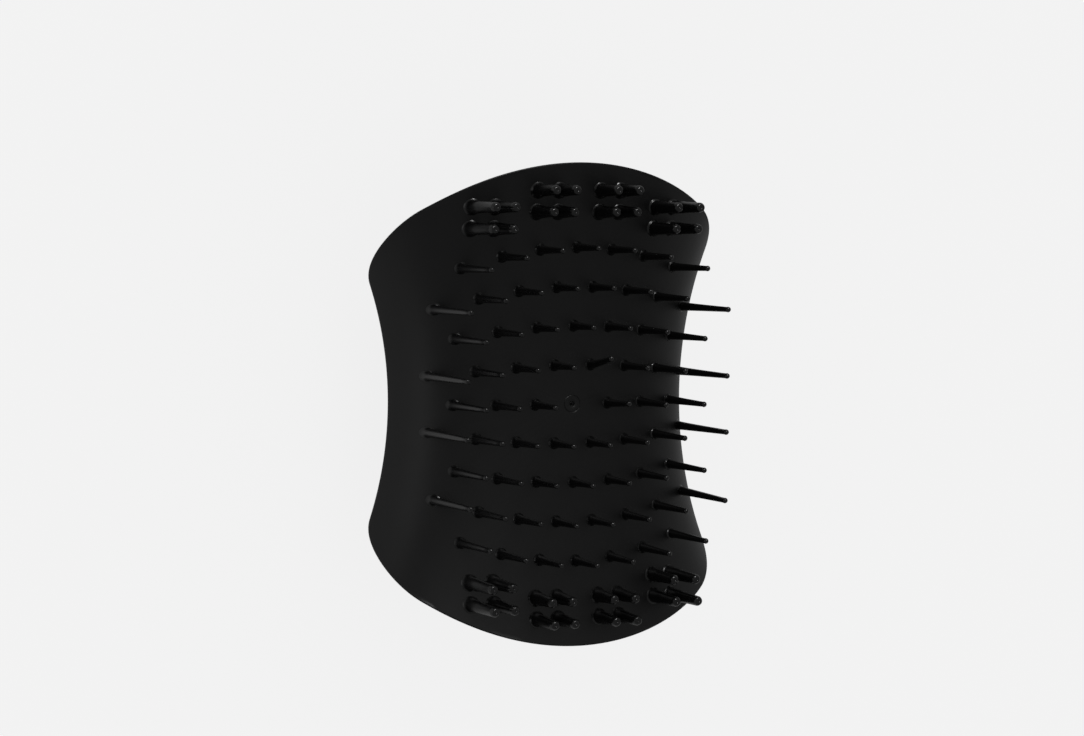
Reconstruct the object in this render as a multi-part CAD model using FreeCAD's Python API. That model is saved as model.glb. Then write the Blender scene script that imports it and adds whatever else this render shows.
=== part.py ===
import FreeCAD, Part
import math
import os

# Palm-held scalp massager brush, millimetres.
# X runs across the brush, Y along it, Z up through the teeth.
# The brush lies on the flat crown of its palm cover, teeth up, with the
# middle of that flat face at the origin.

V = FreeCAD.Vector

# ---- overall form -------------------------------------------------------
LENGTH = 91.2            # end to end, along Y
WIDTH = 69.8             # over the widest part of the four corners
WAIST_PINCH = 4.2        # how far each side draws in at the middle
END_RADIUS = 53.0        # plan radius of each end
CORNER_RADIUS = 12.5     # plan radius of each corner
PLATE_HEIGHT = 34.0      # resting face to the middle of the tooth plate

# ---- saddle of the tooth plate -----------------------------------------
END_RISE = 4.3           # how far the ends stand above the middle
CROWN_FALL = 9.85        # fall of the plate from the middle to its side edge
CROWN_SHARE = 0.55       # part of that fall that is a plain parabola
CORNER_FALL = 0.6        # how much more it falls towards the ends
FLANK_FALL = 7.4         # extra fall of the steep finger grips
FLANK_POWER = 9          # how late the finger grips turn down

# ---- palm cover ---------------------------------------------------------
PALM_TAPER = 0.45        # how straight the palm runs in from the rim
CROWN_HALF_WIDTH = 11.0  # flat resting face, across
CROWN_HALF_LENGTH = 16.0 # flat resting face, along
COVER_WALL = 2.2
LIP_WALL = 1.2           # flared lip that the pad's skirt snaps over
LIP_HEIGHT = 1.8
LIP_ROOT = 3.0           # length of the lip below the parting line
LIP_GAP = 0.12           # all round the lip
POST_RADIUS = 4.2
POST_ACROSS = 13.0       # post centres, from the middle
POST_ALONG = 19.0
POST_TOP = 13.5          # below the middle of the tooth plate

# ---- tooth pad and its carrier ------------------------------------------
PAD_WALL = 1.8
SKIRT_DEPTH = 3.0        # pad edge below its rim, down to the parting line
CARRIER_WALL = 1.6
CARRIER_GAP = 0.3        # carrier edge to lip
PEG_RADIUS = 2.5
PEG_GAP = 0.05           # peg to its hole in the post, on the radius
PEG_REACH = 8.0          # length of the peg inside its post
HOLE_SPARE = 1.0         # hole depth past the peg's end
GATE_RADIUS = 1.75       # moulding gate mark in the middle of the pad
GATE_RING = 0.35         # width of its groove
GATE_DEPTH = 0.2

# ---- fine teeth ---------------------------------------------------------
ROWS_EACH_SIDE = 4       # of the middle row
FINE_HALF_SPAN = 3.5     # outermost tooth of an odd row, in pitches
SIDE_ZONE = 8.65         # from each side to the outermost fine teeth
END_ZONE = 16.04         # from each end to the last row of fine teeth
FINE_PITCH_LOSS = 0.0095 # narrowing of the pitch, per row number squared
ROW_BOW = 0.00136        # curve of the middle rows, per mm
ROW_BOW_STEP = 0.00165   # added with each row away from the middle
FINE_TIP_HEIGHT = 9.1    # tips above the middle of the plate
TIP_BOWL_ACROSS = 0.0039
TIP_BOWL_ALONG = 0.00315
FINE_FLARE_RADIUS = 1.2
FINE_ROOT_RADIUS = 0.84
FINE_NECK_RADIUS = 0.38
FINE_BALL_RADIUS = 0.46
FINE_FLARE_HEIGHT = 1.3

# ---- stout teeth --------------------------------------------------------
STOUT_PITCH_ACROSS = 4.24
STOUT_PITCH_ALONG = 4.03
INNER_CLUSTER = (6.37, 7.36)   # centre, from the middle and from the end
OUTER_CLUSTER = (18.70, 10.51)
STOUT_TIP_DROP = 2.8     # tips below the fine teeth's bowl
STOUT_FLARE_RADIUS = 1.6
STOUT_ROOT_RADIUS = 1.27
STOUT_TIP_RADIUS = 0.93
STOUT_FLARE_HEIGHT = 1.0

# ---- construction only --------------------------------------------------
SKY = 60.0               # far above the brush
DEEP = 120.0             # taller than the brush
MARGIN = 1.5             # surfaces run this far past the outline
GRID_ACROSS = 36
GRID_ALONG = 40
BURIED = 3.0             # a tooth blank starts this far under the plate
PATCH_HALF = 2.6         # plate patch that a tooth's foot is cut to
PATCH_STEPS = (6, 6)
PALM_RINGS = 8           # from the crown to the rim
OVER_RINGS = 2           # carried on above the rim
RING_STEPS = (7, 10, 7)  # points on the waist, corner and end of a quarter
FLAT_ENOUGH = 0.001


# ---- plan outline --------------------------------------------------------
def corner_centre():
    x = WIDTH / 2 - CORNER_RADIUS
    end_y = LENGTH / 2 - END_RADIUS
    reach = END_RADIUS - CORNER_RADIUS
    return x, end_y + math.sqrt(reach ** 2 - x ** 2)


def waist_radius():
    x, y = corner_centre()
    gap = WIDTH / 2 - WAIST_PINCH - x
    return (gap ** 2 + y ** 2 - CORNER_RADIUS ** 2) / (2 * (CORNER_RADIUS - gap))


def flank_half_width(y):
    """Half width of the waist arc, carried on past the corners."""
    r = waist_radius()
    return WIDTH / 2 - WAIST_PINCH + r - math.sqrt(r ** 2 - y ** 2)


def outline_half_width(y):
    x, cy = corner_centre()
    r = waist_radius()
    end_y = LENGTH / 2 - END_RADIUS
    y = abs(y)
    waist_end = r * cy / (r + CORNER_RADIUS)
    corner_end = end_y + (cy - end_y) * END_RADIUS / (END_RADIUS - CORNER_RADIUS)
    if y <= waist_end:
        return flank_half_width(y)
    if y <= corner_end:
        return x + math.sqrt(CORNER_RADIUS ** 2 - (y - cy) ** 2)
    return math.sqrt(max(END_RADIUS ** 2 - (y - end_y) ** 2, 0.0))


def quarter_arcs(inset):
    """Waist, corner and end arc of one quarter: centre, radius, two angles."""
    x, cy = corner_centre()
    r = waist_radius()
    end_y = LENGTH / 2 - END_RADIUS
    waist_x = WIDTH / 2 - WAIST_PINCH + r
    turn = math.atan2(cy, waist_x - x)
    lean = math.atan2(cy - end_y, x)
    waist = (waist_x, 0.0, r + inset, math.pi, math.pi - turn)
    corner = (x, cy, CORNER_RADIUS - inset, -turn, lean)
    end = (0.0, end_y, END_RADIUS - inset, lean, math.pi / 2)
    return waist, corner, end


def arc_point(arc, share):
    x, y, r, start, stop = arc
    angle = start + (stop - start) * share
    return x + r * math.cos(angle), y + r * math.sin(angle)


def outline_points(inset):
    """One loop of points round the outline, closer together on the corners."""
    quarter = []
    for arc, steps in zip(quarter_arcs(inset), RING_STEPS):
        quarter += [arc_point(arc, i / steps) for i in range(steps)]
    top = (0.0, LENGTH / 2 - inset)
    right_up = quarter + [top]
    left_up = [(-x, y) for x, y in reversed(quarter)]
    left_down = [(-x, -y) for x, y in quarter[1:]] + [(0.0, -top[1])]
    right_down = [(x, -y) for x, y in reversed(quarter[1:])]
    return right_up + left_up + left_down + right_down


# ---- saddle surface ------------------------------------------------------
def saddle(x, y, inset=0.0):
    """Height of the tooth plate, or of the same saddle on a narrower brush."""
    across = abs(x) / (flank_half_width(y) - inset)
    along = y / (LENGTH / 2)
    crown = CROWN_SHARE * across ** 2 + (1 - CROWN_SHARE) * across ** 4
    fall = CROWN_FALL * crown * (1 + CORNER_FALL * along ** 2)
    flank = FLANK_FALL * across ** FLANK_POWER
    return PLATE_HEIGHT + END_RISE * along ** 2 - fall - flank


def rim_height(y):
    return saddle(outline_half_width(y), y)


def parting_height(y):
    return rim_height(y) - SKIRT_DEPTH


def saddle_block(low, high, steps, depth, inset=0.0, drop=0.0):
    """Solid of a stated depth under the saddle, or under a drop below it."""
    rows = []
    for i in range(steps[0] + 1):
        x = low[0] + (high[0] - low[0]) * i / steps[0]
        row = []
        for j in range(steps[1] + 1):
            y = low[1] + (high[1] - low[1]) * j / steps[1]
            row.append(V(x, y, saddle(x, y, inset) - drop))
        rows.append(row)
    surface = Part.BSplineSurface()
    surface.interpolate(rows)
    return surface.toShape().extrude(V(0, 0, -depth))


def below_saddle(inset=0.0, drop=0.0):
    """Everything under the saddle, over the whole brush."""
    half_x = WIDTH / 2 + MARGIN
    half_y = LENGTH / 2 + MARGIN
    steps = (GRID_ACROSS, GRID_ALONG)
    return saddle_block((-half_x, -half_y), (half_x, half_y), steps, DEEP, inset, drop)


def below_parting(lift=0.0):
    """Everything under the line where the pad meets the cover."""
    half_y = LENGTH / 2
    points = []
    for i in range(-GRID_ALONG, GRID_ALONG + 1):
        y = half_y * math.sin(math.pi / 2 * i / GRID_ALONG)
        points.append(V(-WIDTH, y, parting_height(y) + lift))
    curve = Part.BSplineCurve()
    curve.interpolate(points)
    low = -DEEP / 2
    ends = [points[-1], V(-WIDTH, half_y + MARGIN, points[-1].z)]
    ends += [V(-WIDTH, half_y + MARGIN, low), V(-WIDTH, -half_y - MARGIN, low)]
    ends += [V(-WIDTH, -half_y - MARGIN, points[0].z), points[0]]
    edges = [curve.toShape(), Part.makePolygon(ends)]
    wire = Part.Wire(edges[:1] + edges[1].Edges)
    return Part.Face(wire).extrude(V(2 * WIDTH, 0, 0))


# ---- egg-shaped body -----------------------------------------------------
def body_rings(inset):
    """Rings from the flat crown, round the palm to the rim, and on above it."""
    half_x = CROWN_HALF_WIDTH - inset / 2
    half_y = CROWN_HALF_LENGTH - inset / 2
    loop = outline_points(inset)
    rings = []
    for step in range(PALM_RINGS + OVER_RINGS + 1):
        lean = math.pi / 2 * step / PALM_RINGS
        out = 1 - PALM_TAPER * math.cos(lean) - (1 - PALM_TAPER) * (1 - math.sin(lean))
        ring = []
        for x, y in loop:
            turn = math.atan2(y / half_y, x / half_x)
            flat_x = half_x * math.cos(turn)
            flat_y = half_y * math.sin(turn)
            top = rim_height(y)
            z = top - (top - inset) * math.cos(lean)
            ring.append(V(flat_x + (x - flat_x) * out, flat_y + (y - flat_y) * out, z))
        rings.append(ring)
    rings.append([V(point.x, point.y, SKY) for point in rings[-1]])
    return rings


def end_face(walls, upper):
    """Flat face that closes the top or the bottom of the quarter walls."""
    rims = []
    for wall in walls:
        level = [edge for edge in wall.Edges if edge.BoundBox.ZLength < FLAT_ENOUGH]
        level.sort(key=lambda edge: edge.CenterOfMass.z)
        rims.append(level[-1] if upper else level[0])
    return Part.Face(Part.Wire(Part.__sortEdges__(rims)))


def body_form(inset):
    """The whole outer form as a solid, each wall moved inwards by inset."""
    rings = body_rings(inset)
    around = len(rings[0])
    poles = [[ring[i] for ring in rings] for i in range(around)]
    spans = len(rings) - 3
    surface = Part.BSplineSurface()
    surface.buildFromPolesMultsKnots(
        poles, [1] * (around + 1), [4] + [1] * (spans - 1) + [4],
        list(range(around + 1)), list(range(spans + 1)), True, False, 3, 3)
    walls = []
    for quarter in range(4):
        patch = surface.copy()
        start = around * quarter // 4
        patch.segment(start, start + around // 4, 0, spans)
        walls.append(patch.toShape())
    shell = Part.makeShell(walls + [end_face(walls, True), end_face(walls, False)])
    shell.sewShape()
    solid = Part.makeSolid(shell)
    if solid.Volume < 0:
        solid.reverse()
    return solid


# ---- teeth ---------------------------------------------------------------
def turned(points):
    """Solid turned about Z from half a section given as radius, height."""
    outline = [V(r, 0, z) for r, z in points]
    outline.append(outline[0])
    return Part.Face(Part.makePolygon(outline)).revolve(V(0, 0, 0), V(0, 0, 1), 360)


def tip_bowl(x, y):
    lift = TIP_BOWL_ACROSS * x ** 2 + TIP_BOWL_ALONG * y ** 2
    return PLATE_HEIGHT + FINE_TIP_HEIGHT + lift


def stand_on_plate(tooth, x, y):
    """Move a tooth to its place and take off what lies inside the plate."""
    near = PATCH_HALF
    low = (x - near, y - near)
    high = (x + near, y + near)
    patch = saddle_block(low, high, PATCH_STEPS, 2 * BURIED + near)
    tooth.translate(V(x, y, saddle(x, y)))
    return tooth.cut(patch).Solids[0]


def fine_tooth(x, y):
    root = saddle(x, y)
    tip = tip_bowl(x, y) - root
    ball = Part.makeSphere(FINE_BALL_RADIUS, V(0, 0, tip - FINE_BALL_RADIUS))
    shaft = turned([
        (0, -BURIED), (FINE_FLARE_RADIUS, -BURIED), (FINE_FLARE_RADIUS, 0),
        (FINE_ROOT_RADIUS, FINE_FLARE_HEIGHT),
        (FINE_NECK_RADIUS, tip - FINE_BALL_RADIUS), (0, tip - FINE_BALL_RADIUS)])
    return stand_on_plate(shaft.fuse(ball), x, y)


def stout_tooth(x, y):
    root = saddle(x, y)
    tip = tip_bowl(x, y) - STOUT_TIP_DROP - root
    ball = Part.makeSphere(STOUT_TIP_RADIUS, V(0, 0, tip - STOUT_TIP_RADIUS))
    shaft = turned([
        (0, -BURIED), (STOUT_FLARE_RADIUS, -BURIED), (STOUT_FLARE_RADIUS, 0),
        (STOUT_ROOT_RADIUS, STOUT_FLARE_HEIGHT),
        (STOUT_TIP_RADIUS, tip - STOUT_TIP_RADIUS), (0, tip - STOUT_TIP_RADIUS)])
    return stand_on_plate(shaft.fuse(ball), x, y)


def fine_row_places(row):
    """Tooth centres of one row, counted from the middle row, which is 0."""
    pitch = (WIDTH / 2 - SIDE_ZONE) / FINE_HALF_SPAN - FINE_PITCH_LOSS * row ** 2
    row_pitch = (LENGTH / 2 - END_ZONE) / ROWS_EACH_SIDE
    bow = ROW_BOW + ROW_BOW_STEP * abs(row)
    first = FINE_HALF_SPAN if row % 2 else FINE_HALF_SPAN - 0.5
    places = []
    for i in range(int(2 * first) + 1):
        x = pitch * (i - first)
        y = row_pitch * abs(row) - bow * x ** 2
        if row == 0:
            y = 0.0
        if abs(x) + abs(y) > GATE_RADIUS:
            places.append((x, math.copysign(y, row)))
    return places


def cluster_places(x, y):
    """Four tooth centres round the middle of a cluster."""
    places = []
    for i in (-0.5, 0.5):
        for j in (-0.5, 0.5):
            places.append((x + i * STOUT_PITCH_ACROSS, y + j * STOUT_PITCH_ALONG))
    return places


# ---- big pieces ----------------------------------------------------------
def post_places():
    return [(sx * POST_ACROSS, sy * POST_ALONG) for sx in (-1, 1) for sy in (-1, 1)]


def tooth_pad(body, plate, under_pad, parting):
    hollow = under_pad.common(body_form(PAD_WALL))
    pad = body.common(plate).cut(hollow).cut(parting)
    groove = Part.makeCylinder(GATE_RADIUS, 2 * GATE_DEPTH)
    groove = groove.cut(Part.makeCylinder(GATE_RADIUS - GATE_RING, 2 * GATE_DEPTH))
    groove.translate(V(0, 0, PLATE_HEIGHT - GATE_DEPTH))
    return pad.cut(groove)


def pad_carrier(under_pad, parting):
    edge = PAD_WALL + LIP_GAP + LIP_WALL + CARRIER_GAP
    tray = under_pad.common(body_form(edge))
    inside = below_saddle(edge + CARRIER_WALL, PAD_WALL + CARRIER_WALL)
    inside = inside.common(body_form(edge + CARRIER_WALL))
    tray = tray.cut(inside).cut(parting)
    top = PLATE_HEIGHT - POST_TOP
    foot = top - PEG_REACH
    for x, y in post_places():
        peg = Part.makeCylinder(PEG_RADIUS, SKY - foot, V(x, y, foot))
        tray = tray.fuse(peg.common(under_pad))
    return tray.removeSplitter()


def palm_cover(body, under_pad, parting):
    inner = body_form(COVER_WALL)
    cover = body.cut(inner).common(parting)
    lip_edge = PAD_WALL + LIP_GAP
    lip = body_form(lip_edge).cut(body_form(lip_edge + LIP_WALL))
    lip = lip.common(below_parting(LIP_HEIGHT)).cut(below_parting(-LIP_ROOT))
    lip = lip.common(below_saddle(PAD_WALL, PAD_WALL + LIP_GAP))
    cover = cover.fuse(lip)
    top = PLATE_HEIGHT - POST_TOP
    depth = PEG_REACH + HOLE_SPARE
    for x, y in post_places():
        post = Part.makeCylinder(POST_RADIUS, top, V(x, y, 0)).common(body)
        hole = Part.makeCylinder(PEG_RADIUS + PEG_GAP, depth, V(x, y, top - depth))
        cover = cover.fuse(post).cut(hole)
    return cover.removeSplitter()


def save(name, solids):
    shape = solids[0] if len(solids) == 1 else Part.makeCompound(solids)
    shape.exportStep("parts/" + name + ".step")
    print(name, len(solids), "solids", round(shape.Volume, 1), "mm3", shape.isValid())


os.makedirs("parts", exist_ok=True)
body = body_form(0.0)
plate = below_saddle()
under_pad = below_saddle(PAD_WALL, PAD_WALL)
parting = below_parting()

save("tooth_pad", tooth_pad(body, plate, under_pad, parting).Solids)
save("pad_carrier", pad_carrier(under_pad, parting).Solids)
save("palm_cover", palm_cover(body, under_pad, parting).Solids)

for number in range(2 * ROWS_EACH_SIDE + 1):
    places = fine_row_places(number - ROWS_EACH_SIDE)
    save("fine_row_%d" % (number + 1), [fine_tooth(x, y) for x, y in places])

for end, sy in (("front", 1), ("rear", -1)):
    for side, sx in (("left", -1), ("right", 1)):
        for depth, centre in (("outer", OUTER_CLUSTER), ("inner", INNER_CLUSTER)):
            across = sx * centre[0]
            along = sy * (LENGTH / 2 - centre[1])
            places = cluster_places(across, along)
            teeth = [stout_tooth(x, y) for x, y in places]
            save("stout_cluster_%s_%s_%s" % (end, side, depth), teeth)
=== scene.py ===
"""Palm-held scalp massager brush: tooth pad, fine and stout teeth, palm cover and studio.

Everything is in metres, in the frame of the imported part: X across the brush,
Y along it, Z up through the teeth, with the flat crown of the cover on the floor.
"""

import math

import bmesh
import bpy
from bpy.props import FloatProperty, FloatVectorProperty, IntProperty, PointerProperty
from mathutils import Matrix, Vector
from mathutils.bvhtree import BVHTree


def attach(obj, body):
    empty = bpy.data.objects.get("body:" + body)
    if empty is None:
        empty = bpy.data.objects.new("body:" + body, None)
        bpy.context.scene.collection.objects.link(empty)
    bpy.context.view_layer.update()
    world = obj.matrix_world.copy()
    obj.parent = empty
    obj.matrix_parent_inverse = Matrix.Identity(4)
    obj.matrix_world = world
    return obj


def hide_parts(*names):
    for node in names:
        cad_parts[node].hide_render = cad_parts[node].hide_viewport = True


bl_info = {
    "name": "Scalp Massager Brush",
    "version": (1, 0, 0),
    "blender": (4, 5, 0),
    "location": "View3D > Sidebar > Massager",
    "description": "Builds a palm-held scalp massager brush round its packed frame",
    "category": "Add Mesh",
}

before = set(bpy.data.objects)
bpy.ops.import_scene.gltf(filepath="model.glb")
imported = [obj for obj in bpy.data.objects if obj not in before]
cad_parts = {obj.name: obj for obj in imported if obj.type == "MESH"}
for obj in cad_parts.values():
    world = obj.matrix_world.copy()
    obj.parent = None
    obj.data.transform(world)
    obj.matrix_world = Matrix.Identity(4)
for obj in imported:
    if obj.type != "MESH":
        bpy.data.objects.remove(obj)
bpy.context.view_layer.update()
MM = 0.001
FULL_TURN = 2 * math.pi


# ---- sizes and colours a user may change ----------------------------------
def distance(name, millimetres, description):
    return FloatProperty(
        name=name, description=description, default=millimetres * MM,
        min=0.0, precision=5, unit="LENGTH", subtype="DISTANCE")


def plain(name, value, description):
    return FloatProperty(name=name, description=description, default=value)


def colour(name, value, description):
    return FloatVectorProperty(
        name=name, description=description, default=value,
        size=3, min=0.0, max=1.0, subtype="COLOR")


class BrushForm(bpy.types.PropertyGroup):
    """Overall form of the brush."""

    length: distance("Length", 91.2, "End to end, along Y")
    width: distance("Width", 69.8, "Over the widest part of the four corners")
    waist_pinch: distance("Waist pinch", 4.2, "How far each side draws in at the middle")
    end_radius: distance("End radius", 53.0, "Plan radius of each end")
    corner_radius: distance("Corner radius", 12.5, "Plan radius of each corner")
    plate_height: distance("Plate height", 34.0, "Resting face to the middle of the tooth plate")
    end_rise: distance("End rise", 4.3, "How far the ends stand above the middle")
    crown_fall: distance("Crown fall", 9.85, "Fall of the plate from the middle to its side")
    crown_share: plain("Crown share", 0.55, "Part of the crown fall that is a plain parabola")
    corner_fall: plain("Corner fall", 0.6, "How much more the plate falls towards the ends")
    flank_fall: distance("Flank fall", 7.4, "Extra fall of the steep finger grips")
    flank_power: plain("Flank power", 9.0, "How late the finger grips turn down")
    pad_wall: distance("Pad wall", 1.8, "Thickness of the flexible pad")
    skirt_depth: distance("Skirt depth", 3.0, "Pad rim down to the parting line")
    rim_round: distance("Rim round", 0.5, "Rounding of the pad's upper edge")
    seam_round: distance("Seam round", 0.22, "Rounding each side of the parting line")


class ToothForm(bpy.types.PropertyGroup):
    """Layout and section of the fine and stout teeth."""

    rows_each_side: IntProperty(name="Rows each side", description="Of the middle row", default=4)
    half_span: plain("Half span", 3.5, "Outermost tooth of an odd row, in pitches")
    side_zone: distance("Side zone", 8.65, "Each side to the outermost fine teeth")
    end_zone: distance("End zone", 16.04, "Each end to the last row of fine teeth")
    pitch_loss: distance("Pitch loss", 0.0095, "Narrowing of the pitch, per row number squared")
    row_bow: plain("Row bow", 1.36, "Curve of the middle rows, per metre")
    row_bow_step: plain("Row bow step", 1.65, "Added with each row away from the middle")
    tip_height: distance("Tip height", 9.1, "Fine tips above the middle of the plate")
    bowl_across: plain("Bowl across", 3.9, "Dish of the tips across the brush, per metre")
    bowl_along: plain("Bowl along", 3.15, "Dish of the tips along the brush, per metre")
    fine_flare: distance("Fine flare", 1.16, "Radius of a fine tooth's foot")
    fine_root: distance("Fine root", 0.82, "Radius above the foot")
    fine_neck: distance("Fine neck", 0.48, "Radius below the ball tip")
    fine_ball: distance("Fine ball", 0.53, "Radius of the ball tip")
    fine_flare_height: distance("Fine flare height", 0.75, "Height of the foot's fillet")
    stout_across: distance("Stout pitch across", 4.24, "Between two stout teeth, across")
    stout_along: distance("Stout pitch along", 4.03, "Between two stout teeth, along")
    inner_across: distance("Inner cluster across", 6.37, "Middle of the brush to the cluster")
    inner_end: distance("Inner cluster from end", 7.36, "End of the brush to the cluster")
    outer_across: distance("Outer cluster across", 18.70, "Middle of the brush to the cluster")
    outer_end: distance("Outer cluster from end", 10.51, "End of the brush to the cluster")
    stout_drop: distance("Stout drop", 2.8, "Stout tips below the fine ones")
    stout_flare: distance("Stout flare", 1.60, "Radius of a stout tooth's foot")
    stout_root: distance("Stout root", 1.20, "Radius above the foot")
    stout_tip: distance("Stout tip", 0.93, "Radius below the domed tip")
    stout_flare_height: distance("Stout flare height", 0.75, "Height of the foot's fillet")


class CoverForm(bpy.types.PropertyGroup):
    """Palm cover and the posts inside it."""

    palm_taper: plain("Palm taper", 0.45, "How straight the palm runs in from the rim")
    crown_half_width: distance("Crown half width", 11.0, "Flat resting face, across")
    crown_half_length: distance("Crown half length", 16.0, "Flat resting face, along")
    wall: distance("Cover wall", 2.2, "Thickness of the palm cover")
    lip_wall: distance("Lip wall", 1.2, "Locating lip inside the pad's skirt")
    lip_height: distance("Lip height", 1.8, "Lip above the parting line")
    lip_root: distance("Lip root", 3.0, "Lip below the parting line")
    lip_gap: distance("Lip gap", 0.12, "All round the lip")
    post_radius: distance("Post radius", 4.2, "Posts that take the carrier's pegs")
    post_across: distance("Post across", 13.0, "Post centre from the middle, across")
    post_along: distance("Post along", 19.0, "Post centre from the middle, along")
    post_top: distance("Post top", 13.5, "Below the middle of the tooth plate")
    hole_radius: distance("Hole radius", 2.55, "Hole for the peg")
    hole_depth: distance("Hole depth", 9.0, "Depth of that hole")


class Finishes(bpy.types.PropertyGroup):
    """Colours and gloss of the materials."""

    pad: colour("Pad", (0.0030, 0.0030, 0.0032), "Black elastomer of the pad")
    teeth: colour("Teeth", (0.0022, 0.0022, 0.0024), "Black elastomer of the teeth")
    cover: colour("Cover", (0.0060, 0.0060, 0.0064), "Black plastic of the palm cover")
    carrier: colour("Carrier", (0.030, 0.030, 0.032), "Dark plastic of the inner carrier")
    floor: colour("Floor", (0.20, 0.20, 0.201), "Translucent pale sheet of the studio floor")
    pad_roughness: plain("Pad roughness", 0.46, "Satin of the pad")
    tooth_roughness: plain("Tooth roughness", 0.29, "Satin of the teeth")
    cover_roughness: plain("Cover roughness", 0.24, "Gloss of the cover")


class StudioSetup(bpy.types.PropertyGroup):
    """Camera, lights and floor."""

    lens: plain("Lens", 102.8, "Focal length in millimetres on a 36 mm wide sensor")
    zenith: plain("Zenith", 0.29, "Strength of the surrounding light overhead")
    horizon: plain("Horizon", 0.31, "Strength of the surrounding light low down")
    below: plain("Below", 0.35, "Strength of the surrounding light under the table")
    underlight: plain("Underlight", 0.83, "Glow of the light table under the brush")
    key: plain("Key", 3.6, "Watts of the small softbox beyond the front end")
    left: plain("Left", 0.5, "Watts of the low softbox on the left")
    right: plain("Right", 0.05, "Watts of the low softbox on the right")


def settings():
    return bpy.context.scene.massager


class MassagerSettings(bpy.types.PropertyGroup):
    """All the groups in one place."""

    form: PointerProperty(type=BrushForm)
    teeth: PointerProperty(type=ToothForm)
    cover: PointerProperty(type=CoverForm)
    finish: PointerProperty(type=Finishes)
    studio: PointerProperty(type=StudioSetup)


# ---- plan outline and saddle ----------------------------------------------
def corner_centre():
    form = settings().form
    x = form.width / 2 - form.corner_radius
    end_y = form.length / 2 - form.end_radius
    reach = form.end_radius - form.corner_radius
    return x, end_y + math.sqrt(reach ** 2 - x ** 2)


def waist_radius():
    form = settings().form
    x, y = corner_centre()
    gap = form.width / 2 - form.waist_pinch - x
    return (gap ** 2 + y ** 2 - form.corner_radius ** 2) / (2 * (form.corner_radius - gap))


class Outline:
    """The waisted outline, worked out once from the sizes."""

    def __init__(self):
        self.form = settings().form
        self.corner = corner_centre()
        self.waist = waist_radius()
        self.half_waist = self.form.width / 2 - self.form.waist_pinch
        self.end_y = self.form.length / 2 - self.form.end_radius

    def flank_half_width(self, y):
        return self.half_waist + self.waist - math.sqrt(self.waist ** 2 - y ** 2)

    def half_width(self, y):
        x, cy = self.corner
        corner_r = self.form.corner_radius
        end_r = self.form.end_radius
        y = abs(y)
        waist_end = self.waist * cy / (self.waist + corner_r)
        corner_end = self.end_y + (cy - self.end_y) * end_r / (end_r - corner_r)
        if y <= waist_end:
            return self.flank_half_width(y)
        if y <= corner_end:
            return x + math.sqrt(corner_r ** 2 - (y - cy) ** 2)
        return math.sqrt(max(end_r ** 2 - (y - self.end_y) ** 2, 0.0))

    def arcs(self, inset):
        """Waist, corner and end arc of one quarter: centre, radius, two angles."""
        x, cy = self.corner
        waist_x = self.half_waist + self.waist
        turn = math.atan2(cy, waist_x - x)
        lean = math.atan2(cy - self.end_y, x)
        corner_r = self.form.corner_radius - inset
        return (
            (waist_x, 0.0, self.waist + inset, math.pi, math.pi - turn),
            (x, cy, corner_r, -turn, lean),
            (0.0, self.end_y, self.form.end_radius - inset, lean, math.pi / 2))

    def loop(self, inset=0.0, steps=(16, 26, 22)):
        """Points once round the outline, closer together on the corners."""
        quarter = []
        for (x, y, r, start, stop), count in zip(self.arcs(inset), steps):
            for i in range(count):
                angle = start + (stop - start) * i / count
                quarter.append((x + r * math.cos(angle), y + r * math.sin(angle)))
        top = (0.0, self.form.length / 2 - inset)
        right_up = quarter + [top]
        left_up = [(-x, y) for x, y in reversed(quarter)]
        left_down = [(-x, -y) for x, y in quarter[1:]] + [(0.0, -top[1])]
        right_down = [(x, -y) for x, y in reversed(quarter[1:])]
        return right_up + left_up + left_down + right_down

    def saddle(self, x, y, inset=0.0):
        """Height of the tooth plate, or of the same saddle on a narrower brush."""
        form = self.form
        across = abs(x) / (self.flank_half_width(y) - inset)
        along = y / (form.length / 2)
        crown = form.crown_share * across ** 2 + (1 - form.crown_share) * across ** 4
        fall = form.crown_fall * crown * (1 + form.corner_fall * along ** 2)
        flank = form.flank_fall * across ** form.flank_power
        return form.plate_height + form.end_rise * along ** 2 - fall - flank

    def rim(self, y):
        return self.saddle(self.half_width(y), y)

    def parting(self, y):
        return self.rim(y) - self.form.skirt_depth

    def tip_bowl(self, x, y):
        teeth = settings().teeth
        lift = teeth.bowl_across * x ** 2 + teeth.bowl_along * y ** 2
        return self.form.plate_height + teeth.tip_height + lift


# ---- mesh helpers ----------------------------------------------------------
def first_ring(bm, places):
    """Open circle with one vertex at each place."""
    ring = bmesh.ops.create_circle(bm, segments=len(places), radius=1.0)["verts"]
    for vert, place in zip(ring, places):
        vert.co = place
    return ring


def next_ring(bm, ring, places):
    """Extrude a ring once and put the new ring in its places."""
    edges = [bm.edges.get((a, b)) for a, b in zip(ring, ring[1:] + ring[:1])]
    made = bmesh.ops.extrude_edge_only(bm, edges=edges)["geom"]
    fresh = {item for item in made if isinstance(item, bmesh.types.BMVert)}
    grown = []
    for vert, place in zip(ring, places):
        twin = next(e.other_vert(vert) for e in vert.link_edges if e.other_vert(vert) in fresh)
        twin.co = place
        grown.append(twin)
    return grown


def close_ring(bm, ring, middle):
    """Draw a ring together on its middle point."""
    last = next_ring(bm, ring, [middle] * len(ring))
    bmesh.ops.pointmerge(bm, verts=last, merge_co=middle)


def ring_edges(bm, ring):
    return [bm.edges.get((a, b)) for a, b in zip(ring, ring[1:] + ring[:1])]


def round_edges(bm, rings, offset, segments):
    edges = [edge for ring in rings for edge in ring_edges(bm, ring)]
    bmesh.ops.bevel(
        bm, geom=edges, offset=offset, offset_type="OFFSET", affect="EDGES",
        segments=segments, profile=0.5, material=-1, clamp_overlap=True)


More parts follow.
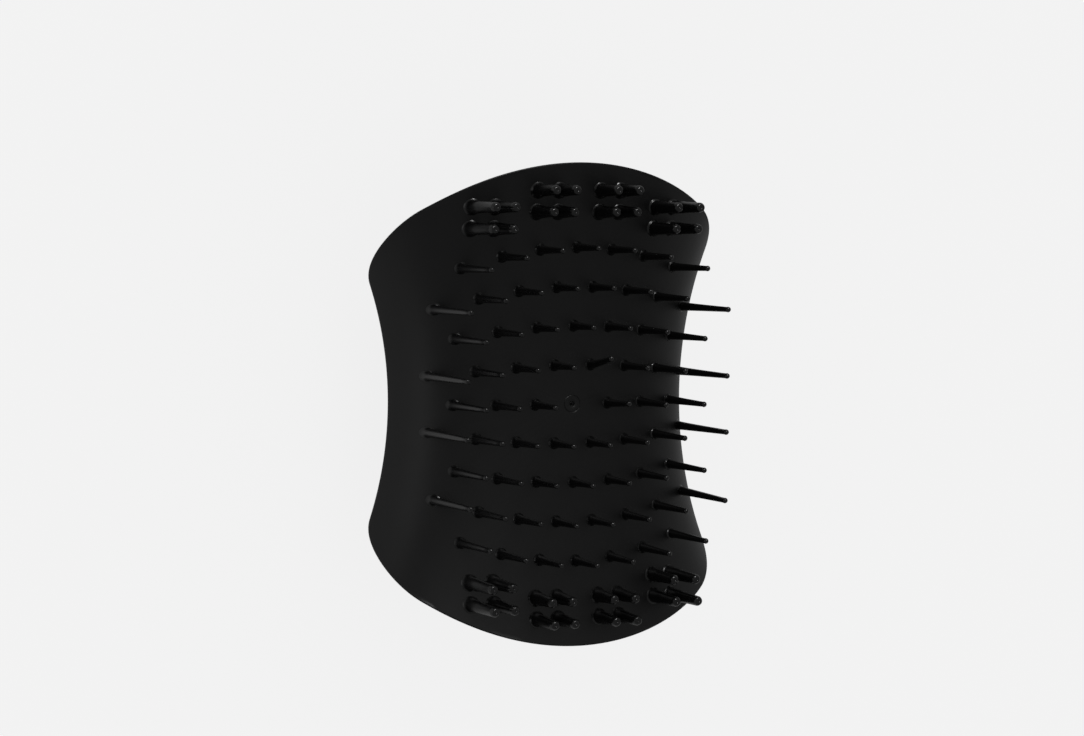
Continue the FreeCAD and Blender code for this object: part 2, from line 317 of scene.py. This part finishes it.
def spun(bm, section, steps):
    """Turn a half section about Z; returns the vertices that were made."""
    before = set(bm.verts)
    verts = [bm.verts.new((r, 0.0, z)) for r, z in section]
    edges = [bm.edges.new(pair) for pair in zip(verts, verts[1:])]
    bmesh.ops.spin(
        bm, geom=verts + edges, cent=(0, 0, 0), axis=(0, 0, 1),
        angle=FULL_TURN, steps=steps, use_merge=True, use_duplicate=False)
    return [vert for vert in bm.verts if vert not in before]


def finished(bm, name, material, nodes, crease=40.0):
    """Turn a bmesh into a named piece that rides on the brush."""
    bmesh.ops.remove_doubles(bm, verts=bm.verts, dist=1e-7)
    bmesh.ops.recalc_face_normals(bm, faces=bm.faces)
    mesh = bpy.data.meshes.new(name)
    bm.to_mesh(mesh)
    bm.free()
    mesh.shade_smooth()
    mesh.set_sharp_from_angle(angle=math.radians(crease))
    mesh.materials.append(material)
    piece = bpy.data.objects.new(name, mesh)
    bpy.context.scene.collection.objects.link(piece)
    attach(piece, "root")
    if nodes:
        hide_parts(*nodes)
    return piece


# ---- materials --------------------------------------------------------------
# Sockets of a mix node that hold colours.
MIX_COLOURS_IN = (6, 7)
MIX_COLOUR_OUT = 2


class Nodes:
    """Short hand for one material's node tree."""

    def __init__(self, name):
        self.material = bpy.data.materials.get(name)
        self.fresh = self.material is None
        if self.fresh:
            self.material = bpy.data.materials.new(name)
            self.material.use_nodes = True
            self.tree = self.material.node_tree
            self.shader = self.tree.nodes["Principled BSDF"]

    def add(self, kind, settings=None, **inputs):
        node = self.tree.nodes.new(kind)
        for key, value in (settings or {}).items():
            setattr(node, key, value)
        for key, value in inputs.items():
            numbered = key[0] == "i" and key[1:].isdigit()
            socket = node.inputs[int(key[1:]) if numbered else key]
            if isinstance(value, bpy.types.NodeSocket):
                self.tree.links.new(value, socket)
            else:
                socket.default_value = value
        return node

    def link(self, source, target):
        self.tree.links.new(source, target)

    def noise(self, vector, scale, detail=3.0, roughness=0.5):
        node = self.add(
            "ShaderNodeTexNoise", Vector=vector, Scale=scale, Detail=detail, Roughness=roughness)
        return node.outputs["Fac"]

    def ranged(self, value, low, high):
        node = self.add("ShaderNodeMapRange", Value=value)
        node.inputs["From Min"].default_value = 0.3
        node.inputs["From Max"].default_value = 0.7
        node.inputs["To Min"].default_value = low
        node.inputs["To Max"].default_value = high
        return node.outputs["Result"]

    def mixed(self, factor, first, second):
        node = self.add("ShaderNodeMix", {"data_type": "RGBA"}, Factor=factor)
        for number, value in zip(MIX_COLOURS_IN, (first, second)):
            node.inputs[number].default_value = (*value, 1.0)
        return node.outputs[MIX_COLOUR_OUT]

    def bump(self, height, strength, depth, normal=None):
        node = self.add("ShaderNodeBump", Height=height, Strength=strength, Distance=depth)
        if normal is not None:
            self.link(normal, node.inputs["Normal"])
        return node.outputs["Normal"]


def shaded(value, share):
    return tuple(min(1.0, v * share) for v in value)


def moulded_elastomer(name, base, roughness, specular, grain, streaks=False):
    """Satin black elastomer: fine mould grain, slight mottling, faint flow lines."""
    made = Nodes(name)
    if not made.fresh:
        return made.material
    place = made.add("ShaderNodeTexCoord").outputs["Object"]
    mottle = made.noise(place, 90.0, 4.0)
    fine = made.noise(place, 2600.0, 2.0)
    tint = made.mixed(mottle, shaded(base, 0.86), shaded(base, 1.16))
    gloss = made.ranged(mottle, roughness - 0.025, roughness + 0.025)
    made.link(tint, made.shader.inputs["Base Color"])
    made.link(gloss, made.shader.inputs["Roughness"])
    normal = made.bump(fine, grain, 0.00002)
    if streaks:
        parts = made.add("ShaderNodeSeparateXYZ", Vector=place)
        angle = made.add(
            "ShaderNodeMath", {"operation": "ARCTAN2"}, i0=parts.outputs["Y"], i1=parts.outputs["X"])
        flat = made.add("ShaderNodeCombineXYZ", X=parts.outputs["X"], Y=parts.outputs["Y"])
        radius = made.add("ShaderNodeVectorMath", {"operation": "LENGTH"}, i0=flat.outputs[0])
        round_x = made.add("ShaderNodeMath", {"operation": "COSINE"}, i0=angle.outputs[0])
        round_y = made.add("ShaderNodeMath", {"operation": "SINE"}, i0=angle.outputs[0])
        out = made.add(
            "ShaderNodeMath", {"operation": "MULTIPLY"}, i0=radius.outputs["Value"], i1=12.0)
        around = made.add(
            "ShaderNodeCombineXYZ", X=round_x.outputs[0], Y=round_y.outputs[0], Z=out.outputs[0])
        flow = made.noise(around.outputs[0], 7.0, 3.0)
        normal = made.bump(flow, 0.10, 0.0004, normal)
    made.link(normal, made.shader.inputs["Normal"])
    made.shader.inputs["Specular IOR Level"].default_value = specular
    return made.material


def moulded_plastic(name, base, roughness, grain):
    """Hard moulded plastic with a trace of orange peel and rubbed patches."""
    made = Nodes(name)
    if not made.fresh:
        return made.material
    place = made.add("ShaderNodeTexCoord").outputs["Object"]
    rub = made.noise(place, 45.0, 4.0)
    peel = made.noise(place, 700.0, 2.0)
    tint = made.mixed(rub, shaded(base, 0.9), shaded(base, 1.12))
    made.link(tint, made.shader.inputs["Base Color"])
    made.link(made.ranged(rub, roughness - 0.03, roughness + 0.05), made.shader.inputs["Roughness"])
    made.link(made.bump(peel, grain, 0.00003), made.shader.inputs["Normal"])
    return made.material


def pad_material():
    finish = settings().finish
    return moulded_elastomer(
        "pad_black_elastomer", finish.pad, finish.pad_roughness,
        specular=0.30, grain=0.22, streaks=True)


def tooth_material():
    finish = settings().finish
    return moulded_elastomer(
        "tooth_black_elastomer", finish.teeth, finish.tooth_roughness,
        specular=0.42, grain=0.10)


def cover_material():
    finish = settings().finish
    return moulded_plastic(
        "cover_black_plastic", finish.cover, finish.cover_roughness, grain=0.12)


def carrier_material():
    finish = settings().finish
    return moulded_plastic("carrier_dark_plastic", finish.carrier, roughness=0.5, grain=0.3)


# ---- palm form ----------------------------------------------------------------
# The palm is followed this far round from the crown when a crossing is looked for.
FURTHEST_LEAN = 1.25 * math.pi / 2
HALVINGS = 40


def palm_point(shape, x, y, inset, lean):
    """Point of the palm below the outline point x, y: crown at 0, rim at a right angle."""
    cover = settings().cover
    half_x = cover.crown_half_width - inset / 2
    half_y = cover.crown_half_length - inset / 2
    turn = math.atan2(y / half_y, x / half_x)
    flat_x, flat_y = half_x * math.cos(turn), half_y * math.sin(turn)
    taper = cover.palm_taper
    out = 1 - taper * math.cos(lean) - (1 - taper) * (1 - math.sin(lean))
    top = shape.rim(y)
    z = top - (top - inset) * math.cos(lean)
    return flat_x + (x - flat_x) * out, flat_y + (y - flat_y) * out, z


def lean_at(shape, x, y, inset, lift=0.0):
    """Lean at which the palm crosses the parting line, or a line this far above it."""
    low, high = 0.0, FURTHEST_LEAN
    for _ in range(HALVINGS):
        lean = (low + high) / 2
        px, py, pz = palm_point(shape, x, y, inset, lean)
        if pz < shape.parting(py) + lift:
            low = lean
        else:
            high = lean
    return low


def palm_line(shape, loop, inset, lift=0.0):
    """Ring where the palm, moved in by inset, crosses the parting line."""
    return [palm_point(shape, x, y, inset, lean_at(shape, x, y, inset, lift)) for x, y in loop]


def palm_ring(shape, loop, inset, share, lift=0.0):
    """Ring at a share of the way from the crown to the parting line."""
    ring = []
    for x, y in loop:
        ring.append(palm_point(shape, x, y, inset, share * lean_at(shape, x, y, inset, lift)))
    return ring


# ---- tooth pad ---------------------------------------------------------------
# Gate mark in the middle of the pad: radius and height above the plate, mm.
GATE_SECTION = (
    (0.10, -0.16), (0.18, -0.36), (0.30, -0.42), (0.42, -0.30), (0.50, -0.05),
    (0.58, 0.0), (1.10, 0.0), (1.50, 0.0), (1.55, -0.06), (1.61, -0.09),
    (1.67, -0.06), (1.72, 0.0), (1.95, 0.0), (2.3, 0.0))
PLATE_RINGS = 44
PLATE_RING_BUNCHING = 1.25
CEILING_RINGS = 16
SKIRT_SHARES = (0.35, 0.7, 1.0)


def vestige(radius, angle):
    """The torn stub of the gate is lumpy, not round."""
    near = max(0.0, 1.0 - radius / (0.45 * MM))
    return 0.22 * MM * near * (1 + 0.8 * math.sin(2 * angle + 0.6) + 0.5 * math.sin(3 * angle))


def plate_ring(shape, loop, share, middle):
    """Ring between the round gate mark and the outline, lying on the saddle."""
    ring = []
    for x, y in loop:
        reach = math.hypot(x, y)
        r = middle + (reach - middle) * share
        px, py = x / reach * r, y / reach * r
        ring.append((px, py, shape.saddle(px, py)))
    return ring


def pad_ceiling_edge(shape, x, y):
    """Where the skirt's inner wall meets the underside of the plate."""
    wall = shape.form.pad_wall
    low, high = lean_at(shape, x, y, wall), FURTHEST_LEAN
    for _ in range(HALVINGS):
        lean = (low + high) / 2
        px, py, pz = palm_point(shape, x, y, wall, lean)
        if pz < shape.saddle(px, py, wall) - wall:
            low = lean
        else:
            high = lean
    return palm_point(shape, x, y, wall, low)


def build_tooth_pad():
    shape = Outline()
    form = shape.form
    rim_loop = shape.loop()
    bm = bmesh.new()
    ring = None
    for radius, height in GATE_SECTION:
        r = radius * MM
        places = []
        for x, y in rim_loop:
            angle = math.atan2(y, x)
            px, py = r * math.cos(angle), r * math.sin(angle)
            lump = vestige(r, angle)
            places.append((px, py, shape.saddle(px, py) + height * MM + lump))
        if ring is None:
            ring = first_ring(bm, places)
            middle = Vector((0, 0, form.plate_height + 0.06 * MM))
            inner = ring
        else:
            ring = next_ring(bm, ring, places)
    gate_edge = GATE_SECTION[-1][0] * MM
    for step in range(1, PLATE_RINGS + 1):
        share = 1 - (1 - step / PLATE_RINGS) ** PLATE_RING_BUNCHING
        ring = next_ring(bm, ring, plate_ring(shape, rim_loop, share, gate_edge))
    rim = ring
    leans = [lean_at(shape, x, y, 0.0) for x, y in rim_loop]
    for share in SKIRT_SHARES:
        places = []
        for (x, y), lean in zip(rim_loop, leans):
            turn = math.pi / 2 + (lean - math.pi / 2) * share
            places.append(palm_point(shape, x, y, 0.0, turn))
        ring = next_ring(bm, ring, places)
    seam = ring
    inner_loop = shape.loop(form.pad_wall)
    under = palm_line(shape, inner_loop, form.pad_wall)
    ring = next_ring(bm, ring, under)
    edge = [pad_ceiling_edge(shape, x, y) for x, y in inner_loop]
    ring = next_ring(bm, ring, edge)
    for step in range(1, CEILING_RINGS):
        share = 1 - step / CEILING_RINGS
        places = []
        for x, y, z in edge:
            px, py = x * share, y * share
            places.append((px, py, shape.saddle(px, py, form.pad_wall) - form.pad_wall))
        ring = next_ring(bm, ring, places)
    close_ring(bm, ring, Vector((0, 0, form.plate_height - form.pad_wall)))
    close_ring(bm, inner, middle)
    round_edges(bm, [rim], form.rim_round, 5)
    round_edges(bm, [seam], form.seam_round, 3)
    return finished(bm, "tooth_pad_moulding", pad_material(), ["tooth_pad"])


# ---- teeth --------------------------------------------------------------------
BURIED = 0.35 * MM
FINE_STEPS = 28
STOUT_STEPS = 40
COLLAR_SHARE = 0.34
# Fine teeth that stand bent: row, place in the row, lean across and along, mm.
BENT_FINE_TEETH = {
    (1, 4): (0.1, 1.6), (0, 4): (0.1, 0.35), (0, 0): (0.3, 0.0),
    (3, 7): (0.7, 0.0), (1, 7): (0.75, 0.0), (-1, 7): (0.65, 0.0), (-3, 7): (0.3, -0.3)}


def fillet(height, tall, root, flare):
    """Radius of a foot that flows out onto the plate."""
    share = max(0.0, 1 - height / tall)
    return root + (flare - root) * share ** 2.4


def fine_section(teeth, tall):
    """Half section of a fine tooth from its buried foot up to its ball."""
    foot = teeth.fine_flare_height
    section = [(0.0, -BURIED), (teeth.fine_flare, -BURIED), (teeth.fine_flare, 0.0)]
    for i in range(1, 6):
        h = foot * (i / 5) ** 1.4
        section.append((fillet(h, foot, teeth.fine_root, teeth.fine_flare), h))
    centre = tall - teeth.fine_ball
    start = math.asin(teeth.fine_neck / teeth.fine_ball)
    joint = centre - teeth.fine_ball * math.cos(start)
    for i in range(1, 7):
        share = i / 6
        r = teeth.fine_root + (teeth.fine_neck - teeth.fine_root) * share ** 0.8
        section.append((r, foot + (joint - foot) * share))
    for i in range(1, 9):
        angle = start + (math.pi - start) * i / 8
        r = teeth.fine_ball * math.sin(angle)
        section.append((max(r, 0.0) if i < 8 else 0.0, centre - teeth.fine_ball * math.cos(angle)))
    return section


def stout_section(teeth, tall):
    """Half section of a stout tooth: fillet, low collar, shouldered dome, dimple."""
    foot = teeth.stout_flare_height
    tip = teeth.stout_tip
    section = [(0.0, -BURIED), (teeth.stout_flare, -BURIED), (teeth.stout_flare, 0.0)]
    for i in range(1, 7):
        h = foot * (i / 6) ** 1.4
        section.append((fillet(h, foot, teeth.stout_root, teeth.stout_flare), h))
    collar = foot + (tall - foot) * COLLAR_SHARE
    slim = teeth.stout_root + (tip - teeth.stout_root) * COLLAR_SHARE
    section += [(slim + 0.03 * MM, collar - 0.08 * MM), (slim - 0.04 * MM, collar + 0.10 * MM)]
    shoulder = tall - 0.62 * MM
    section += [(tip + 0.01 * MM, shoulder - 0.5 * MM), (tip, shoulder)]
    dome = tip - 0.07 * MM
    flat = 0.40 * MM
    rise = 0.50 * MM
    for i in range(7):
        angle = math.pi / 2 * i / 6
        r = flat + (dome - flat) * math.cos(angle)
        section.append((r, tall - rise + rise * math.sin(angle)))
    section += [(0.24 * MM, tall), (0.17 * MM, tall - 0.05 * MM)]
    section += [(0.12 * MM, tall - 0.12 * MM), (0.0, tall - 0.14 * MM)]
    return section


def place_tooth(shape, verts, x, y, foot, tall, lean=(0.0, 0.0)):
    """Stand a spun tooth at its root, its foot following the saddle."""
    root = shape.saddle(x, y)
    for vert in verts:
        px, py, h = vert.co
        local = shape.saddle(x + px, y + py) - root
        follow = min(1.0, max(0.0, 1 - h / foot))
        rise = max(0.0, h / tall) ** 1.3
        z = root + h + local * follow * follow * (3 - 2 * follow)
        vert.co = (x + px + lean[0] * rise, y + py + lean[1] * rise, z)


def fine_row_places(row):
    """Tooth centres of one row, counted from the middle row, which is 0."""
    form, teeth = settings().form, settings().teeth
    pitch = (form.width / 2 - teeth.side_zone) / teeth.half_span - teeth.pitch_loss * row ** 2
    row_pitch = (form.length / 2 - teeth.end_zone) / teeth.rows_each_side
    bow = teeth.row_bow + teeth.row_bow_step * abs(row)
    first = teeth.half_span if row % 2 else teeth.half_span - 0.5
    places = []
    for i in range(int(2 * first) + 1):
        x = pitch * (i - first)
        y = 0.0 if row == 0 else math.copysign(row_pitch * abs(row) - bow * x ** 2, row)
        if abs(x) + abs(y) > 2 * MM:
            places.append((i, x, y))
    return places


def build_fine_row(row):
    shape = Outline()
    teeth = settings().teeth
    bm = bmesh.new()
    for i, x, y in fine_row_places(row):
        tall = shape.tip_bowl(x, y) - shape.saddle(x, y)
        verts = spun(bm, fine_section(teeth, tall), FINE_STEPS)
        across, along = BENT_FINE_TEETH.get((row, i), (0.0, 0.0))
        lean = (across * MM, along * MM)
        place_tooth(shape, verts, x, y, teeth.fine_flare_height, tall, lean)
    number = row + teeth.rows_each_side + 1
    return finished(
        bm, "fine_teeth_row_%d" % number, tooth_material(),
        ["fine_row_%d" % number], crease=60.0)


def build_stout_cluster(end, side, depth, x, y):
    shape = Outline()
    teeth = settings().teeth
    bm = bmesh.new()
    for i in (-0.5, 0.5):
        for j in (-0.5, 0.5):
            px, py = x + i * teeth.stout_across, y + j * teeth.stout_along
            tall = shape.tip_bowl(px, py) - teeth.stout_drop - shape.saddle(px, py)
            verts = spun(bm, stout_section(teeth, tall), STOUT_STEPS)
            place_tooth(shape, verts, px, py, teeth.stout_flare_height, tall)
    place = "%s_%s_%s" % (end, side, depth)
    return finished(
        bm, "stout_teeth_" + place, tooth_material(),
        ["stout_cluster_" + place], crease=60.0)


# ---- palm cover ------------------------------------------------------------------
OUTER_RINGS = 30
INNER_RINGS = 20
POST_STEPS = 40
POST_EDGE = 0.25 * MM


def palm_disc(bm, shape, loop, inset, ring):
    """Flat middle of the crown, closed on its centre."""
    crown = [palm_point(shape, x, y, inset, 0.0) for x, y in loop]
    for share in (0.75, 0.5, 0.25):
        ring = next_ring(bm, ring, [(x * share, y * share, z) for x, y, z in crown])
    close_ring(bm, ring, Vector((0, 0, inset)))


def build_palm_cover():
    shape = Outline()
    cover = settings().cover
    form = shape.form
    outer = shape.loop()
    bm = bmesh.new()
    crown = first_ring(bm, palm_ring(shape, outer, 0.0, 0.0))
    ring = crown
    for step in range(1, OUTER_RINGS + 1):
        ring = next_ring(bm, ring, palm_ring(shape, outer, 0.0, step / OUTER_RINGS))
    seam = ring
    lip_out = form.pad_wall + cover.lip_gap
    lip_in = lip_out + cover.lip_wall
    out_loop, in_loop = shape.loop(lip_out), shape.loop(lip_in)
    ring = next_ring(bm, ring, palm_line(shape, out_loop, lip_out))
    ring = next_ring(bm, ring, palm_line(shape, out_loop, lip_out, cover.lip_height))
    ring = next_ring(bm, ring, palm_line(shape, in_loop, lip_in, cover.lip_height))
    ring = next_ring(bm, ring, palm_line(shape, in_loop, lip_in, -cover.lip_root))
    inner = shape.loop(cover.wall)
    for step in range(1, INNER_RINGS + 1):
        share = 1 - step / INNER_RINGS
        ring = next_ring(bm, ring, palm_ring(shape, inner, cover.wall, share, -cover.lip_root))
    palm_disc(bm, shape, inner, cover.wall, ring)
    palm_disc(bm, shape, outer, 0.0, crown)
    round_edges(bm, [seam], form.seam_round, 3)
    bmesh.ops.recalc_face_normals(bm, faces=bm.faces)
    tree = BVHTree.FromBMesh(bm)
    for sx in (-1, 1):
        for sy in (-1, 1):
            add_post(bm, tree, sx * cover.post_across, sy * cover.post_along)
    return finished(
        bm, "palm_cover_shell", cover_material(), ["palm_cover"], crease=35.0)


def add_post(bm, tree, x, y):
    """Hollow post that stands on the inside of the cover."""
    cover = settings().cover
    top = settings().form.plate_height - cover.post_top
    hole, edge = cover.hole_radius, POST_EDGE
    section = [
        (0.0, 0.0), (cover.post_radius, 0.0), (cover.post_radius, top - edge),
        (cover.post_radius - edge, top), (hole + edge, top), (hole, top - edge),
        (hole, top - cover.hole_depth), (0.0, top - cover.hole_depth)]
    for vert in spun(bm, section, POST_STEPS):
        vert.co.x += x
        vert.co.y += y
        if vert.co.z < edge:
            hit = tree.ray_cast(Vector((vert.co.x, vert.co.y, top)), Vector((0, 0, -1)))[0]
            vert.co.z = hit.z - cover.wall / 2


# ---- stage -------------------------------------------------------------------------
CAMERA_PLACE = (-0.24464, 0.03956, 0.56378)
CAMERA_RIGHT = (0.91204, 0.00371, 0.41008)
CAMERA_UP = (0.01966, 0.99842, -0.05274)
CAMERA_BACK = (-0.40963, 0.05616, 0.91052)
# Softboxes: place and size in metres.
FRONT_SOFTBOX = ((-0.02, 0.62, 0.62), (0.16, 0.10))
LEFT_SOFTBOX = ((-0.95, 0.05, 0.06), (0.6, 0.3))
RIGHT_SOFTBOX = ((0.95, 0.10, 0.20), (0.5, 0.3))
# Where the dome's tones stand: 0 straight down, 0.5 level, 1 straight up.
DOME_BELOW, DOME_LEVEL, DOME_LOW, DOME_HIGH = 0.46, 0.50, 0.62, 0.85
FLOOR_HALF_SIZE = 6.0
FLOOR_DROP = 0.02 * MM


def add_camera():
    data = bpy.data.cameras.new("studio_camera")
    data.lens = settings().studio.lens
    data.sensor_width = 36.0
    data.sensor_fit = "HORIZONTAL"
    data.clip_start = 0.01
    data.clip_end = 50.0
    camera = bpy.data.objects.new("studio_camera", data)
    turn = Matrix((CAMERA_RIGHT, CAMERA_UP, CAMERA_BACK)).transposed()
    camera.matrix_world = Matrix.Translation(CAMERA_PLACE) @ turn.to_4x4()
    bpy.context.scene.collection.objects.link(camera)
    bpy.context.scene.camera = camera


def add_softbox(name, place, size, watts, aim=(0.0, 0.0, 0.03)):
    data = bpy.data.lights.new(name, "AREA")
    data.shape = "RECTANGLE"
    data.size, data.size_y = size
    data.energy = watts
    lamp = bpy.data.objects.new(name, data)
    direction = Vector(aim) - Vector(place)
    turn = direction.to_track_quat("-Z", "Y").to_matrix().to_4x4()
    lamp.matrix_world = Matrix.Translation(place) @ turn
    bpy.context.scene.collection.objects.link(lamp)
    return lamp


def add_dome():
    world = bpy.data.worlds.new("studio_dome")
    world.use_nodes = True
    tree = world.node_tree
    sky = tree.nodes["Background"]
    sky.inputs["Color"].default_value = (1.0, 1.0, 1.0, 1.0)
    place = tree.nodes.new("ShaderNodeTexCoord")
    parts = tree.nodes.new("ShaderNodeSeparateXYZ")
    fade = tree.nodes.new("ShaderNodeValToRGB")
    studio = settings().studio
    tones = (
        (DOME_BELOW, studio.below), (DOME_LEVEL, studio.horizon),
        (DOME_LOW, studio.horizon), (DOME_HIGH, studio.zenith))
    ramp = fade.color_ramp
    ramp.interpolation = "EASE"
    while len(ramp.elements) < len(tones):
        ramp.elements.new(0.5)
    for element, (height, tone) in zip(ramp.elements, tones):
        element.position = height
        element.color = (tone, tone, tone, 1.0)
    half = tree.nodes.new("ShaderNodeMath")
    half.operation = "MULTIPLY_ADD"
    half.inputs[1].default_value = 0.5
    half.inputs[2].default_value = 0.5
    tree.links.new(place.outputs["Generated"], parts.inputs["Vector"])
    tree.links.new(parts.outputs["Z"], half.inputs[0])
    tree.links.new(half.outputs[0], fade.inputs["Fac"])
    tree.links.new(fade.outputs["Color"], sky.inputs["Color"])
    bpy.context.scene.world = world


def add_floor():
    made = Nodes("studio_floor_paper")
    place = made.add("ShaderNodeTexCoord").outputs["Object"]
    tone = made.noise(place, 3.0, 2.0)
    base = tuple(settings().finish.floor)
    made.link(made.mixed(tone, shaded(base, 0.998), base), made.shader.inputs["Base Color"])
    made.shader.inputs["Roughness"].default_value = 0.9
    made.shader.inputs["Specular IOR Level"].default_value = 0.1
    made.shader.inputs["Emission Color"].default_value = (1.0, 1.0, 1.0, 1.0)
    made.shader.inputs["Emission Strength"].default_value = settings().studio.underlight
    bm = bmesh.new()
    bmesh.ops.create_grid(bm, x_segments=8, y_segments=8, size=FLOOR_HALF_SIZE)
    for vert in bm.verts:
        vert.co.z = -FLOOR_DROP
    mesh = bpy.data.meshes.new("studio_floor")
    bm.to_mesh(mesh)
    bm.free()
    mesh.materials.append(made.material)
    floor = bpy.data.objects.new("studio_floor", mesh)
    floor.visible_glossy = False
    bpy.context.scene.collection.objects.link(floor)


# ---- operators ------------------------------------------------------------------------
class MASSAGER_OT_stage(bpy.types.Operator):
    """Set up the pale floor, the soft lights and the camera"""

    bl_idname = "massager.stage"
    bl_label = "Studio stage"

    def execute(self, context):
        studio = settings().studio
        context.scene.view_settings.view_transform = "Standard"
        add_camera()
        add_dome()
        add_floor()
        key = add_softbox("softbox_front", *FRONT_SOFTBOX, studio.key)
        key.data.use_shadow = False
        key.visible_diffuse = False
        add_softbox("softbox_left", *LEFT_SOFTBOX, studio.left)
        add_softbox("softbox_right", *RIGHT_SOFTBOX, studio.right)
        return {"FINISHED"}


class MASSAGER_OT_tooth_pad(bpy.types.Operator):
    """Build the flexible saddle pad with its gate mark"""

    bl_idname = "massager.tooth_pad"
    bl_label = "Tooth pad"

    def execute(self, context):
        build_tooth_pad()
        return {"FINISHED"}


class MASSAGER_OT_fine_teeth(bpy.types.Operator):
    """Build the nine bowed rows of fine teeth"""

    bl_idname = "massager.fine_teeth"
    bl_label = "Fine teeth"

    def execute(self, context):
        rows = settings().teeth.rows_each_side
        for row in range(-rows, rows + 1):
            build_fine_row(row)
        return {"FINISHED"}


class MASSAGER_OT_stout_teeth(bpy.types.Operator):
    """Build the eight clusters of stout teeth"""

    bl_idname = "massager.stout_teeth"
    bl_label = "Stout teeth"

    def execute(self, context):
        teeth = settings().teeth
        half = settings().form.length / 2
        clusters = (
            ("outer", teeth.outer_across, teeth.outer_end),
            ("inner", teeth.inner_across, teeth.inner_end))
        for end, sy in (("front", 1), ("rear", -1)):
            for side, sx in (("left", -1), ("right", 1)):
                for depth, across, from_end in clusters:
                    build_stout_cluster(end, side, depth, sx * across, sy * (half - from_end))
        return {"FINISHED"}


class MASSAGER_OT_palm_cover(bpy.types.Operator):
    """Build the rounded palm cover with its lip and posts"""

    bl_idname = "massager.palm_cover"
    bl_label = "Palm cover"

    def execute(self, context):
        build_palm_cover()
        return {"FINISHED"}


class MASSAGER_OT_carrier_finish(bpy.types.Operator):
    """Give the inner carrier its moulded finish"""

    bl_idname = "massager.carrier_finish"
    bl_label = "Pad carrier finish"

    def execute(self, context):
        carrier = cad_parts["pad_carrier"]
        material = carrier_material()
        if carrier.material_slots:
            for slot in carrier.material_slots:
                slot.material = material
        else:
            carrier.data.materials.append(material)
        return {"FINISHED"}


class MASSAGER_PT_panel(bpy.types.Panel):
    """Lists the steps that build the brush"""

    bl_idname = "MASSAGER_PT_panel"
    bl_label = "Scalp massager brush"
    bl_space_type = "VIEW_3D"
    bl_region_type = "UI"
    bl_category = "Massager"

    def draw(self, context):
        for step in STEPS:
            self.layout.operator(step.bl_idname)
        groups = context.scene.massager
        for group in (groups.form, groups.teeth, groups.cover, groups.finish, groups.studio):
            box = self.layout.box()
            for key in group.__annotations__:
                box.prop(group, key)


STEPS = (
    MASSAGER_OT_stage, MASSAGER_OT_carrier_finish, MASSAGER_OT_palm_cover,
    MASSAGER_OT_tooth_pad, MASSAGER_OT_fine_teeth, MASSAGER_OT_stout_teeth)
CLASSES = (
    BrushForm, ToothForm, CoverForm, Finishes, StudioSetup, MassagerSettings) + STEPS + (
    MASSAGER_PT_panel,)


def register():
    for item in CLASSES:
        bpy.utils.register_class(item)
    bpy.types.Scene.massager = PointerProperty(type=MassagerSettings)


def unregister():
    del bpy.types.Scene.massager
    for item in reversed(CLASSES):
        bpy.utils.unregister_class(item)


def main():
    register()
    for step in STEPS:
        group, name = step.bl_idname.split(".")
        getattr(getattr(bpy.ops, group), name)()


if __name__ == "__main__":
    main()
